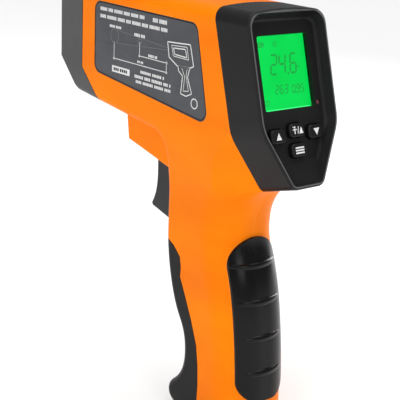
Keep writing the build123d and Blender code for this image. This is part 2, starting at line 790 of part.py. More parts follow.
# Trigger with its pin, torsion spring and switch
with BuildPart() as trigger:
    with BuildSketch(x_plane(-TRIGGER_HALF)):
        with BuildLine():
            Spline((62.0, 122), (61.6, 106), (62.9, 97.3), (65.6, 91.6), tangents=((0, -1), (0.65, -1)))
            Polyline(
                (65.6, 91.6),
                (64.7, 90.0),
                (50.6, 86.7),
                (37, 85.9),
                (35.5, 88),
                (35.5, 99),
                (38.8, 105),
                (38.8, 119),
                (51, 128),
                (62.0, 128),
                (62.0, 122),
            )
        make_face()
    extrude(amount=2 * TRIGGER_HALF)
    tip = [e for e in trigger.edges().filter_by(Axis.X) if e.center().Y > 62 and e.center().Z < 93]
    fillet(tip, radius=0.8)
    rim = [e for e in trigger.edges() if abs(e.center().X) > 5.9 and e.center().Y > 50]
    fillet([e for e in rim if e.center().Z < 120], radius=1.5)
    add(block(-4.2, 4.2, 30, PLUNGER_TIP + 0.5, SWITCH_Z - 9, 130), mode=Mode.SUBTRACT)
    add(rod(*TRIGGER_PIVOT, 4.6, -TRIGGER_HALF, TRIGGER_HALF))
    add(rod(*TRIGGER_PIVOT, TRIGGER_PIN_R + RUNNING_FIT, -20, 20), mode=Mode.SUBTRACT)
save(trigger.part, "trigger")
save(rod(*TRIGGER_PIVOT, TRIGGER_PIN_R, -14, 14), "trigger_pin")

SPRING_WIRE_R = 0.35
SPRING_MEAN_R = 2.4
with BuildPart() as trigger_spring:
    with BuildLine() as coil_path:
        Helix(pitch=0.85, height=2.2, radius=SPRING_MEAN_R, center=(6.85, *TRIGGER_PIVOT), direction=(1, 0, 0))
    with BuildSketch(Plane(coil_path.line @ 0, z_dir=coil_path.line % 0)):
        Circle(SPRING_WIRE_R)
    sweep()
save(trigger_spring.part, "trigger_spring")

with BuildPart() as switch_body:
    add(block(-3.2, 3.2, 34, SWITCH_FRONT, SWITCH_Z - 5, SWITCH_Z + 5))
    plunger_room = block(-1.2, 1.2, 35.6, SWITCH_FRONT + 1, SWITCH_Z - 1.2, SWITCH_Z + 1.2)
    add(plunger_room, mode=Mode.SUBTRACT)
save(switch_body.part, "trigger_switch")
save(block(-0.9, 0.9, 37.4, PLUNGER_TIP, SWITCH_Z - 0.9, SWITCH_Z + 0.9), "switch_plunger")
save(block(-12, 12, 32.4, 34, 104.5, 124), "switch_board")

# Battery door: handle front with the hinge knuckle at its foot
with BuildPart() as battery_door:
    add(housing.part)
    door_outline = [(y + DOOR_CLEARANCE, z - DOOR_CLEARANCE) for y, z in DOOR_EDGE]
    add(side_prism(door_outline, 30), mode=Mode.INTERSECT)
    add(handle_hollow.part, mode=Mode.SUBTRACT)
    underside = [(DOOR_PIVOT[0], 0.3), toe_point(TOE_DOWN), (45, 3), (45, -3), (DOOR_PIVOT[0], -3)]
    add(side_prism(underside, 30), mode=Mode.SUBTRACT)
    add(block(-30, 30, 0, DOOR_PIVOT[0], -2, 9.8), mode=Mode.SUBTRACT)
    add(block(-15.5, 15.5, 0, DOOR_PIVOT[0], 9, 12), mode=Mode.SUBTRACT)
    add(rod(*DOOR_PIVOT, KNUCKLE_R, 0.1 - HANDLE_HALF, HANDLE_HALF - 0.1))
    for side in (-1, 1):
        lug_room = sorted((side * (KNUCKLE_HALF + 0.1), side * 16.0))
        add(rod(*DOOR_PIVOT, 6.8, *lug_room), mode=Mode.SUBTRACT)
    add(rod(*DOOR_PIVOT, DOOR_PIN_R + RUNNING_FIT, -16.2, 16.2), mode=Mode.SUBTRACT)
save(battery_door.part, "battery_door")
save(rod(*DOOR_PIVOT, DOOR_PIN_R, -15.7, 15.7), "door_pin")

# Battery in its tray, with the snap connector and two leads
battery_half = BATTERY[0] / 2
battery_front = BATTERY_BACK + BATTERY[1]
battery_top = BATTERY_BOTTOM + BATTERY[2]
terminal_top = battery_top + 2.8
with BuildPart() as battery:
    add(block(-battery_half, battery_half, BATTERY_BACK, battery_front, BATTERY_BOTTOM, battery_top))
    fillet(battery.edges().filter_by(Axis.Z), radius=2)
    with BuildSketch(Plane.XY.offset(battery_top)):
        with Locations((-6.4, BATTERY_BACK + 8.7), (6.4, BATTERY_BACK + 8.7)):
            Circle(2.8)
    extrude(amount=terminal_top - battery_top)
save(battery.part, "battery")

with BuildPart() as battery_tray:
    add(block(-14.9, 14.9, BATTERY_BACK - 1.6, 14.6, BATTERY_BOTTOM - 1.4, 50))
    fillet(battery_tray.edges().filter_by(Axis.Z).group_by(Axis.Y)[0], radius=3.5)
    room = block(-battery_half - 0.3, battery_half + 0.3, BATTERY_BACK - 0.2, 30, BATTERY_BOTTOM - 0.1, 80)
    add(room, mode=Mode.SUBTRACT)
save(battery_tray.part, "battery_tray")
save(block(-12.5, 12.5, BATTERY_BACK + 2.5, 13.5, terminal_top, terminal_top + 2.6), "battery_snap")

LEAD_R = 0.7
lead_foot = terminal_top + 2.6
for label, side in (("lead_red", -1), ("lead_black", 1)):
    route = [
        (side * 4, 6.5, lead_foot),
        (side * 4, 6.5, lead_foot + 10),
        (side * 3.0, 12.5, 86),
        (side * 4.4, 7.0, 113),
        (side * 3.8, 6.5, 134),
        (side * 3.8, 6.5, BOARD_FLOOR),
    ]
    with BuildPart() as lead:
        with BuildLine() as lead_path:
            FilletPolyline(*route, radius=12)
        with BuildSketch(Plane(lead_path.line @ 0, z_dir=lead_path.line % 0)):
            Circle(LEAD_R)
        sweep()
    save(lead.part, label)

# Rubber grip, moulded over the handle's rear, slightly proud and with four raised ribs
RIBS = [(-7.6, 80.6), (-12.1, 64.6), (-14.8, 48.4), (-16.6, 32.2)]
RIB_ROUND = 18.6
RIB_HIGH = 3.4
RIB_PROUD = 1.2
RIB_EDGE = 1.5
with BuildPart() as ribs:
    for y, z in RIBS:
        with BuildSketch(Plane.XY.offset(z - RIB_HIGH / 2)):
            with Locations((0, y - RIB_PROUD + RIB_ROUND)):
                Circle(RIB_ROUND)
        extrude(amount=RIB_HIGH)
    fillet(ribs.edges().filter_by(GeomType.CIRCLE), radius=RIB_EDGE)

with BuildPart() as rear_grip:
    with BuildSketch(x_plane(-HANDLE_HALF)):
        with BuildLine():
            Spline(*rear_line(-GRIP_PROUD), tangents=((0, 1), (0, 1)))
            Polyline(rear_line(-GRIP_PROUD)[-1], (20, 99), (20, 0), rear_line(-GRIP_PROUD)[0])
        make_face()
    extrude(amount=2 * HANDLE_HALF)
    rear_edges = [e for e in rear_grip.edges() if e.center().Y < 0 and e.bounding_box().size.X < 0.1]
    fillet([e for e in rear_edges if e.bounding_box().size.Z > 90], radius=REAR_ROUND)
    add(ribs.part)
    add(grip_region(), mode=Mode.INTERSECT)
    add(grip_core.part, mode=Mode.SUBTRACT)
save(rear_grip.part, "rear_grip")

# Brass tripod insert in the base
with BuildPart() as tripod_insert:
    with BuildSketch(Plane.XY):
        Circle(INSERT_R)
    extrude(amount=INSERT_HIGH)
    with BuildSketch(Plane.XY):
        Circle(SOCKET_R)
    extrude(amount=SOCKET_DEPTH, mode=Mode.SUBTRACT)
save(tripod_insert.part, "tripod_insert")

with BuildPart() as case_screws:
    for y, z in CASE_SCREWS:
        add(rod(y, z, 1.1, -SCREW_REACH, SCREW_SEAT_X))
        add(rod(y, z, 2.3, SCREW_SEAT_X, SCREW_SEAT_X + SCREW_HEAD))
save(case_screws.part, "case_screws")
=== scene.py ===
"""Infrared thermometer: materials, fine detail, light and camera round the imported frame.

Lengths are written in millimetres and turned into metres by mm(). The settings of material nodes
and of lights are in metres. The axes are the frame's: +X is the user's right, +Y the way the
thermometer aims and +Z up.
"""

from math import cos, pi, radians, sin, sqrt, tan
import bmesh
import bpy
from mathutils import Euler, Matrix, Vector


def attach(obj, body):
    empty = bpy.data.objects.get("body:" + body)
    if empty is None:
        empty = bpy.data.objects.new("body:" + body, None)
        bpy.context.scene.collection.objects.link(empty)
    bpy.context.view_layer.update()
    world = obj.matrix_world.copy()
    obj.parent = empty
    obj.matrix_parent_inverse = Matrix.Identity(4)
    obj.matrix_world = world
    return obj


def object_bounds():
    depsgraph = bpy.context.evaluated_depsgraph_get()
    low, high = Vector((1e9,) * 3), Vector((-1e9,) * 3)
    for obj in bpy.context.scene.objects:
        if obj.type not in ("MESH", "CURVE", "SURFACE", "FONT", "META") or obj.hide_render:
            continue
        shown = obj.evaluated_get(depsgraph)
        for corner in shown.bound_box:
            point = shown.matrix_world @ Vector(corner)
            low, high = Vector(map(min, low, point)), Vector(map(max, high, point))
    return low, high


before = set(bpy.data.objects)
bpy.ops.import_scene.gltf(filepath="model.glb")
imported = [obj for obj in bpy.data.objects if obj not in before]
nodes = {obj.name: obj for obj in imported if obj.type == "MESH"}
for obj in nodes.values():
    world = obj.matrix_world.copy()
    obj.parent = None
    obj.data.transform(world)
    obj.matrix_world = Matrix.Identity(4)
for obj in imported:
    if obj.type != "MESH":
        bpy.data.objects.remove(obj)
cad_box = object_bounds()

MM = 0.001

# The display leans back; u runs up it and depth runs from the lip towards the nose
DISPLAY_TILT = radians(16)
LIP_Y = -23.5
LIP_Z = 164.2


def mm(*point):
    return Vector(point) * MM


def on_display(x, u, depth):
    """Frame position, in metres, of a point on the display."""
    y = LIP_Y + sin(DISPLAY_TILT) * u + cos(DISPLAY_TILT) * depth
    z = LIP_Z + cos(DISPLAY_TILT) * u - sin(DISPLAY_TILT) * depth
    return mm(x, y, z)


# ---------------------------------------------------------------- materials

# Painted highlight along the bezel's lip, in millimetres below its crest: where it starts and where
# it is full
CREST_DEEP = 0.1
CREST_FULL = 0.02
# Radius of the edge mask for lighter edges: wear, and also a painted edge highlight
EDGE_WEAR_AND_HIGHLIGHT_RADIUS = 0.0007
FLOW_BUMP = 0.00012
GRAIN_BUMP = 0.00004


class Shade:
    """A node material with a Principled shader; its methods add nodes and return sockets."""

    def __init__(self, name, **settings):
        self.material = bpy.data.materials.new(name)
        self.material.use_nodes = True
        self.tree = self.material.node_tree
        self.shader = self.tree.nodes["Principled BSDF"]
        for key, value in settings.items():
            self.shader.inputs[key.replace("_", " ")].default_value = value
        self.place = self.add("ShaderNodeTexCoord").outputs["Object"]

    def add(self, kind, **settings):
        node = self.tree.nodes.new(kind)
        for key, value in settings.items():
            setattr(node, key, value)
        return node

    def link(self, source, target):
        self.tree.links.new(source, target)

    def feed(self, name, socket):
        self.link(socket, self.shader.inputs[name])

    def noise(self, scale, detail=3.0, roughness=0.5, place=None):
        node = self.add("ShaderNodeTexNoise")
        node.inputs["Scale"].default_value = scale
        node.inputs["Detail"].default_value = detail
        node.inputs["Roughness"].default_value = roughness
        self.link(place or self.place, node.inputs["Vector"])
        return node.outputs["Fac"]

    def stretched(self, x, y, z):
        node = self.add("ShaderNodeMapping")
        node.inputs["Scale"].default_value = (x, y, z)
        self.link(self.place, node.inputs["Vector"])
        return node.outputs["Vector"]

    def ramp(self, source, low, high, start=0.3, end=0.7):
        node = self.add("ShaderNodeMapRange")
        node.inputs["From Min"].default_value = start
        node.inputs["From Max"].default_value = end
        node.inputs["To Min"].default_value = low
        node.inputs["To Max"].default_value = high
        self.link(source, node.inputs["Value"])
        return node.outputs["Result"]

    def mix(self, factor, first, second):
        node = self.add("ShaderNodeMix", data_type="RGBA")
        self.link(factor, node.inputs["Factor"])
        for socket, value in ((node.inputs["A"], first), (node.inputs["B"], second)):
            if isinstance(value, tuple):
                socket.default_value = (*value, 1.0)
            else:
                self.link(value, socket)
        return node.outputs["Result"]

    def maths(self, operation, first, second):
        node = self.add("ShaderNodeMath", operation=operation)
        for socket, value in zip(node.inputs, (first, second)):
            if isinstance(value, (int, float)):
                socket.default_value = value
            else:
                self.link(value, socket)
        return node.outputs["Value"]

    def edge(self, radius):
        """About 0 on open faces and up to 1 on sharp outer edges."""
        bevel = self.add("ShaderNodeBevel", samples=6)
        bevel.inputs["Radius"].default_value = radius
        geometry = self.add("ShaderNodeNewGeometry")
        dot = self.add("ShaderNodeVectorMath", operation="DOT_PRODUCT")
        self.link(bevel.outputs["Normal"], dot.inputs[0])
        self.link(geometry.outputs["Normal"], dot.inputs[1])
        return self.ramp(dot.outputs["Value"], 1.0, 0.0, 0.86, 0.995)

    def painted_crest_highlight(self):
        """1 along the crest of the bezel's lip, where a painted highlight goes, broken up by noise,
        the same all round.
        """
        towards_user = self.add("ShaderNodeVectorMath", operation="DOT_PRODUCT")
        towards_user.inputs[1].default_value = (0, -cos(DISPLAY_TILT), sin(DISPLAY_TILT))
        self.link(self.place, towards_user.inputs[0])
        crest = LIP_Z * sin(DISPLAY_TILT) - LIP_Y * cos(DISPLAY_TILT)
        start, end = (crest - CREST_DEEP) * MM, (crest - CREST_FULL) * MM
        near = self.ramp(towards_user.outputs["Value"], 0, 1, start, end)
        return self.maths("MULTIPLY", near, self.ramp(self.noise(120, 3), 0.6, 1))

    def bump(self, height, strength, distance, under=None):
        node = self.add("ShaderNodeBump")
        node.inputs["Strength"].default_value = strength
        node.inputs["Distance"].default_value = distance
        self.link(height, node.inputs["Height"])
        if under:
            self.link(under, node.inputs["Normal"])
        return node.outputs["Normal"]


def moulded(
    name, color, rough, specular=0.5, grain=900, grain_strength=0.25, edge_wear_and_highlight=None, crest=None
):
    """Moulded plastic: spark-eroded grain, faint flow marks, handling marks, and edge wear that is
    also a painted edge highlight.
    """
    shade = Shade(name, Specular_IOR_Level=specular)
    lighter = tuple(min(1.0, c * 1.14) for c in color)
    darker = tuple(c * 0.9 for c in color)
    flow = shade.noise(38, 4, place=shade.stretched(1, 0.35, 1))
    tint = shade.mix(shade.ramp(flow, 0, 1, 0.35, 0.65), darker, lighter)
    speck = shade.ramp(shade.noise(grain * 1.7, 2), 0, 0.16, 0.45, 0.75)
    tint = shade.mix(speck, tint, lighter)
    # Lighter edges in noisy patches: wear, and also a painted edge highlight
    if edge_wear_and_highlight:
        edges = shade.edge(EDGE_WEAR_AND_HIGHLIGHT_RADIUS)
        patches = shade.ramp(shade.noise(160, 4), 0.35, 1, 0.4, 0.6)
        tint = shade.mix(shade.maths("MULTIPLY", edges, patches), tint, edge_wear_and_highlight)
    # Painted highlight: a lighter line along the crest of the bezel's lip
    if crest:
        tint = shade.mix(shade.painted_crest_highlight(), tint, crest)
    shade.feed("Base Color", tint)
    handled = shade.noise(55, 5, 0.62)
    scuffs = shade.noise(420, 3, 0.6, shade.stretched(1, 1, 0.16))
    marks = shade.maths("MULTIPLY", handled, scuffs)
    shade.feed("Roughness", shade.ramp(marks, rough - 0.06, rough + 0.09, 0.1, 0.42))
    broad = shade.bump(shade.noise(26, 2), 0.25, FLOW_BUMP)
    fine = shade.bump(shade.noise(grain, 4, 0.6), grain_strength, GRAIN_BUMP, broad)
    shade.feed("Normal", fine)
    return shade.material


# The wear colours are lighter edges: wear, and also a painted edge highlight
orange = moulded("orange_case", (1.0, 0.205, 0.0), 0.42, specular=0.07, edge_wear_and_highlight=(1.0, 0.27, 0.02))
black = moulded("black_plastic", (0.0105, 0.0105, 0.011), 0.36, specular=0.12)
# Its crest colour is a painted highlight along the lip
bezel_black = moulded(
    "bezel_plastic", (0.0115, 0.0115, 0.012), 0.34, specular=0.14, crest=(0.13, 0.13, 0.135)
)
charcoal = moulded(
    "charcoal_plastic", (0.082, 0.082, 0.084), 0.5, specular=0.2, edge_wear_and_highlight=(0.14, 0.14, 0.14)
)
trigger_plastic = moulded(
    "trigger_plastic", (0.034, 0.035, 0.036), 0.48, specular=0.15, edge_wear_and_highlight=(0.09, 0.09, 0.09)
)
rubber = moulded(
    "grip_rubber", (0.0028, 0.0028, 0.003), 0.22, specular=0.2, grain=1500, grain_strength=0.08
)
key_rubber = moulded(
    "key_rubber", (0.006, 0.006, 0.006), 0.36, specular=0.25, grain=1800, grain_strength=0.12
)
seal = moulded("seal_rubber", (0.004, 0.004, 0.004), 0.6, specular=0.15)
inner = moulded("inner_plastic", (0.06, 0.06, 0.06), 0.5, specular=0.3)


def printed_film():
    """Satin label film: dark grey ink with a faint mottle and fine handling scratches."""
    shade = Shade("label_film", Specular_IOR_Level=0.3)
    mottle = shade.ramp(shade.noise(70, 5, 0.6), 0, 1, 0.35, 0.65)
    tint = shade.mix(mottle, (0.055, 0.058, 0.065), (0.068, 0.071, 0.078))
    shade.feed("Base Color", tint)
    scratches = shade.noise(900, 2, 0.7, shade.stretched(1, 0.05, 1))
    shade.feed("Roughness", shade.ramp(scratches, 0.34, 0.52, 0.4, 0.7))
    shade.feed("Normal", shade.bump(scratches, 0.08, 0.00002))
    return shade.material


def printed_ink(name, color):
    """Screen-printed ink: slightly uneven cover and a dry surface."""
    shade = Shade(name, Specular_IOR_Level=0.2)
    cover = shade.ramp(shade.noise(2600, 2), 0, 1, 0.3, 0.75)
    shade.feed("Base Color", shade.mix(cover, color, tuple(c * 0.82 for c in color)))
    shade.feed("Roughness", shade.ramp(shade.noise(600, 3), 0.45, 0.65))
    return shade.material


def lit_display():
    """Backlit liquid crystal: bright green, a little uneven, lit from behind."""
    shade = Shade("lcd", Specular_IOR_Level=0.1)
    glow = shade.ramp(shade.noise(45, 2), 0, 1, 0.3, 0.7)
    tint = shade.mix(glow, (0.0, 0.66, 0.08), (0.002, 0.78, 0.115))
    cells = shade.ramp(shade.noise(3500, 1), 0, 0.06, 0.4, 0.6)
    tint = shade.mix(cells, tint, (0.0, 0.5, 0.05))
    shade.feed("Base Color", shade.mix(cells, (0.0, 0.18, 0.02), (0.0, 0.2, 0.02)))
    shade.feed("Emission Color", tint)
    shade.shader.inputs["Emission Strength"].default_value = 0.87
    shade.feed("Roughness", shade.ramp(cells, 0.4, 0.5, 0, 0.06))
    return shade.material


def clear_window():
    """Clear plastic: see-through with a thin gloss and faint wipe marks."""
    shade = Shade("clear_window")
    glass = shade.add("ShaderNodeBsdfTransparent")
    glass.inputs["Color"].default_value = (0.96, 1.0, 0.97, 1)
    gloss = shade.add("ShaderNodeBsdfGlossy")
    wipes = shade.noise(300, 3, 0.6, shade.stretched(1, 1, 0.2))
    shade.link(shade.ramp(wipes, 0.03, 0.14, 0.4, 0.7), gloss.inputs["Roughness"])
    fresnel = shade.add("ShaderNodeFresnel")
    fresnel.inputs["IOR"].default_value = 1.2
    mix = shade.add("ShaderNodeMixShader")
    shade.link(fresnel.outputs["Fac"], mix.inputs["Fac"])
    shade.link(glass.outputs["BSDF"], mix.inputs[1])
    shade.link(gloss.outputs["BSDF"], mix.inputs[2])
    shade.link(mix.outputs["Shader"], shade.tree.nodes["Material Output"].inputs["Surface"])
    shade.tree.nodes.remove(shade.shader)
    return shade.material


def metal(name, color, rough, turned=0.0):
    """Metal with fine machining marks, some tarnish and uneven polish."""
    shade = Shade(name, Metallic=1.0)
    tarnish = shade.ramp(shade.noise(220, 4, 0.6), 0, 1, 0.35, 0.7)
    shade.feed("Base Color", shade.mix(tarnish, color, tuple(c * 0.72 for c in color)))
    marks = shade.noise(2400, 2, 0.5, shade.stretched(1, turned, 1))
    shade.feed("Roughness", shade.ramp(marks, rough - 0.08, rough + 0.14, 0.35, 0.65))
    shade.feed("Normal", shade.bump(marks, 0.15, 0.00003))
    return shade.material


def board():
    """Solder mask over copper: green with darker tracks and a fine surface."""
    shade = Shade("circuit_board", Coat_Weight=0.3)
    tracks = shade.add("ShaderNodeTexBrick")
    tracks.inputs["Scale"].default_value = 260
    shade.link(shade.place, tracks.inputs["Vector"])
    tint = shade.mix(tracks.outputs["Fac"], (0.012, 0.13, 0.045), (0.02, 0.2, 0.07))
    shade.feed("Base Color", tint)
    shade.feed("Roughness", shade.ramp(shade.noise(500, 3), 0.3, 0.5))
    shade.feed("Normal", shade.bump(tracks.outputs["Fac"], 0.2, 0.00005))
    return shade.material


def coated_lens():
    """Infrared lens: dark, metallic and slightly purple, with a few specks of dust."""
    shade = Shade("infrared_lens", Metallic=0.9)
    coat = shade.ramp(shade.noise(60, 1), 0, 1, 0.3, 0.7)
    shade.feed("Base Color", shade.mix(coat, (0.10, 0.075, 0.13), (0.06, 0.07, 0.12)))
    shade.feed("Roughness", shade.ramp(shade.noise(1800, 2), 0.06, 0.22, 0.62, 0.8))
    return shade.material


def lamp(name, color, strength):
    """Small lamp, tinted clear part, and the glowing painted highlight at the display's edges."""
    shade = Shade(name, Coat_Weight=0.5)
    core = shade.ramp(shade.noise(900, 1), 0, 1, 0.3, 0.7)
    shade.feed("Base Color", shade.mix(core, color, tuple(c * 0.7 for c in color)))
    shade.feed("Roughness", shade.ramp(shade.noise(1500, 2), 0.2, 0.35))
    shade.shader.inputs["Emission Color"].default_value = (*color, 1)
    shade.shader.inputs["Emission Strength"].default_value = strength
    return shade.material


film = printed_film()
white_ink = printed_ink("white_ink", (0.78, 0.78, 0.78))
grey_ink = printed_ink("grey_ink", (0.17, 0.17, 0.175))
key_ink = printed_ink("key_ink", (0.9, 0.9, 0.9))
segment_ink = lamp("segment_ink", (0.0, 0.36, 0.045), 0.46)
# Glowing green for a painted highlight along the display window's left and bottom edges
edge_highlight_ink = lamp("painted_edge_highlight", (0.05, 0.9, 0.25), 0.9)
# Near-black: print on the labels, and painted shade on the screw heads and round the labels
dark_ink_and_painted_shade = printed_ink("dark_ink_and_painted_shade", (0.012, 0.012, 0.013))
steel = metal("steel", (0.55, 0.55, 0.57), 0.32)
brass = metal("brass", (0.72, 0.5, 0.2), 0.3, 0.2)
anodised = metal("anodised", (0.03, 0.03, 0.034), 0.45)
green_board = board()
chip = moulded("chip_epoxy", (0.015, 0.015, 0.015), 0.5, grain=2500)

CAD_MATERIALS = {
    "left_shell": orange,
    "right_shell": orange,
    "rear_bezel": bezel_black,
    "battery_door": black,
    "nose_shroud": charcoal,
    "trigger": trigger_plastic,
    "rear_grip": rubber,
    "nose_seal": seal,
    "optics_plate": black,
    "left_label": film,
    "right_label": film,
    "button_up": key_rubber,
    "button_down": key_rubber,
    "button_light": key_rubber,
    "button_menu": key_rubber,
    "keypad_mat": key_rubber,
    "display_window": clear_window(),
    "lcd_cell": lit_display(),
    "backlight": moulded("diffuser", (0.8, 0.82, 0.8), 0.4),
    "status_led": lamp("status_led", (0.16, 0.05, 0.055), 0.05),
    "infrared_lens": coated_lens(),
    "lens_ring": anodised,
    "lens_tube": anodised,
    "laser_windows": lamp("laser_windows", (0.16, 0.01, 0.015), 0.0),
    "laser_modules": brass,
    "tripod_insert": brass,
    "thermopile_sensor": steel,
    "case_screws": steel,
    "board_screws": steel,
    "door_pin": steel,
    "trigger_pin": steel,
    "trigger_spring": steel,
    "sensor_board": green_board,
    "display_board": green_board,
    "main_board": green_board,
    "switch_board": green_board,
    "main_board_chips": chip,
    "buzzer": chip,
    "trigger_switch": chip,
    "battery_snap": chip,
    "switch_plunger": inner,
    "optics_bracket": inner,
    "battery_tray": inner,
    "display_ribbon": moulded("polyimide", (0.55, 0.3, 0.05), 0.35),
    "battery": moulded("battery_jacket", (0.02, 0.03, 0.12), 0.3),
    "lead_red": moulded("red_wire", (0.5, 0.01, 0.01), 0.35),
    "lead_black": moulded("black_wire", (0.01, 0.01, 0.01), 0.35),
}
for label, material in CAD_MATERIALS.items():
    nodes[label].data.materials.clear()
    nodes[label].data.materials.append(material)

# ---------------------------------------------------------------- flat marks


def plate(name, outlines, surface, material, body, thick=0.04):
    """Thin raised marks: outlines of flat points that surface(a, b, height) puts in place."""
    mesh = bmesh.new()
    for outline in outlines:
        low = [mesh.verts.new(surface(a, b, 0.0)) for a, b in outline]
        high = [mesh.verts.new(surface(a, b, thick)) for a, b in outline]
        mesh.faces.new(high)
        mesh.faces.new(list(reversed(low)))
        count = len(outline)
        for i in range(count):
            k = (i + 1) % count
            mesh.faces.new((low[i], low[k], high[k], high[i]))
    bmesh.ops.recalc_face_normals(mesh, faces=mesh.faces)
    data = bpy.data.meshes.new(name)
    mesh.to_mesh(data)
    mesh.free()
    data.materials.append(material)
    piece = bpy.data.objects.new(name, data)
    bpy.context.collection.objects.link(piece)
    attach(piece, body)


def stroke(start, end, width):
    """Rectangle along a line."""
    (a, b), (c, d) = start, end
    length = sqrt((c - a) ** 2 + (d - b) ** 2)
    across = (-(d - b) / length * width / 2, (c - a) / length * width / 2)
    return [
        (a + across[0], b + across[1]),
        (a - across[0], b - across[1]),
        (c - across[0], d - across[1]),
        (c + across[0], d + across[1]),
    ]


def path(points, width, closed=True):
    """Strokes along a line of points, back to the first one if it is closed."""
    ends = points[1:] + points[:1] if closed else points[1:]
    return [stroke(a, b, width) for a, b in zip(points, ends)]


def disc(a, b, radius, steps=16):
    turns = [2 * pi * i / steps for i in range(steps)]
    return [(a + radius * cos(turn), b + radius * sin(turn)) for turn in turns]


def ring(a, b, radius, width, steps=20):
    return path(disc(a, b, radius, steps), width)


# The bars that are lit in each figure, named round the figure from its top, with g in the middle
SEGMENTS = {
    "0": "abcdef",
    "2": "abged",
    "3": "abgcd",
    "4": "fgbc",
    "5": "afgcd",
    "6": "afgedc",
    "9": "abcdfg",
}
DIGIT_LEAN = 0.12
SEGMENT_GAP = 0.16


def digit(character, left, low, wide, high, bar):
    """Seven-segment digit as a list of six-sided bars, leaning to the right."""
    half = high / 2
    ends = {
        "a": ((0, high), (wide, high)),
        "g": ((0, half), (wide, half)),
        "d": ((0, 0), (wide, 0)),
        "f": ((0, half), (0, high)),
        "b": ((wide, half), (wide, high)),
        "e": ((0, 0), (0, half)),
        "c": ((wide, 0), (wide, half)),
    }
    gap = bar * SEGMENT_GAP
    tip = bar / 2
    bars = []
    for name in SEGMENTS[character]:
        (a, b), (c, d) = ends[name]
        if b == d:
            a, c = a + gap, c - gap
            upper = [(a, b), (a + tip, b + tip), (c - tip, b + tip)]
            shape = upper + [(c, b), (c - tip, b - tip), (a + tip, b - tip)]
        else:
            b, d = b + gap, d - gap
            right = [(a, b), (a + tip, b + tip), (a + tip, d - tip)]
            shape = right + [(a, d), (a - tip, d - tip), (a - tip, b + tip)]
        bars.append([(left + x + DIGIT_LEAN * y, low + y) for x, y in shape])
    return bars


# Depth of the liquid crystal cell's face below the lip
SEGMENT_DEPTH = 7.94
SUN = (-2.0, 18.7)
SUN_RAYS = 8


def lcd_surface(x, u, height):
    return on_display(x, u, SEGMENT_DEPTH - height)


def lcd_marks():
    """Main reading, the two small readings and plain symbols, with a glowing painted highlight along
    two edges.
    """
    marks = []
    for character, left in (("2", -6.1), ("4", -1.3), ("6", 4.9)):
        marks += digit(character, left, 6.2, 3.3, 8.0, 0.85)
    marks.append(disc(3.7, 6.1, 0.5, 8))
    for character, left in (("2", -4.9), ("6", -2.3), ("3", 0.3)):
        marks += digit(character, left, -1.9, 1.7, 3.3, 0.5)
    for character, left in (("0", 4.7), ("9", 7.2), ("5", 9.6)):
        marks += digit(character, left, -2.2, 1.6, 3.2, 0.45)
    marks.append(disc(6.9, -2.2, 0.28, 8))
    marks += ring(9.9, 8.4, 0.5, 0.25, 10)
    # battery with three bars
    marks += path([(-12.1, 17.8), (-8.6, 17.8), (-8.6, 19.7), (-12.1, 19.7)], 0.3)
    marks += [stroke((-11.6 + i, 18.75), (-11.0 + i, 18.75), 1.2) for i in range(3)]
    marks.append(stroke((-8.4, 18.75), (-8.1, 18.75), 0.9))
    # sun with its rays
    marks += ring(*SUN, 0.75, 0.3, 12)
    for start, end in zip(disc(*SUN, 1.05, SUN_RAYS), disc(*SUN, 1.5, SUN_RAYS)):
        marks.append(stroke(start, end, 0.25))
    # box with a slash
    marks += path([(-11.6, -6.4), (-9.2, -6.4), (-9.2, -4.3), (-11.6, -4.3)], 0.3)
    marks.append(stroke((-10.9, -5.9), (-9.9, -4.8), 0.35))
    plate("lcd_segments", marks, lcd_surface, segment_ink, "case", 0.03)
    # Painted highlight: bright green glowing strips along the left and bottom edges
    left_edge = stroke((-14.0, -8.5), (-14.0, 21.9), 0.45)
    low_edge = stroke((-13.7, -8.45), (13.9, -8.45), 0.4)
    plate("lcd_painted_edge_highlight", [left_edge, low_edge], lcd_surface, edge_highlight_ink, "case", 0.02)


# Top of the case screws' heads, and where the screws are along Y and Z
SCREW_X = 5.8
CASE_SCREWS = [(84, 145.6), (97.5, 187), (9.2, 187.2), (14, 129), (5.5, 86), (-8.6, 7.4)]
CROSS_REACH = 1.2
CROSS_WIDTH = 0.5


def screw_surface(y, z, height):
    return mm(SCREW_X + height, y, z)


def screw_recess_shade():
    """Painted shade of the case screws' cross recesses: flat dark crosses on their heads, seen down
    their holes.
    """
    marks = []
    for y, z in CASE_SCREWS:
        marks.append(stroke((y - CROSS_REACH, z), (y + CROSS_REACH, z), CROSS_WIDTH))
        for side in (1, -1):
            foot = z + side * CROSS_WIDTH / 2
            marks.append(stroke((y, foot), (y, z + side * CROSS_REACH), CROSS_WIDTH))
    # Painted shade: dark crosses where the recesses would be shaded
    plate("screw_recess_shade", marks, screw_surface, dark_ink_and_painted_shade, "case", 0.03)


# Depth of the keys' tops below the lip, how far a mark sinks in, and the keys' centres
KEY_TOP = 2.8
MARK_SINK = 0.01
KEY_PLACES = {
    "button_up": (-10.8, -19.4),
    "button_light": (0.0, -17.8),
    "button_down": (10.8, -19.4),
    "button_menu": (0.0, -26.2),
}


def key_surface(x, u, height):
    return on_display(x, u, KEY_TOP - MARK_SINK - height)


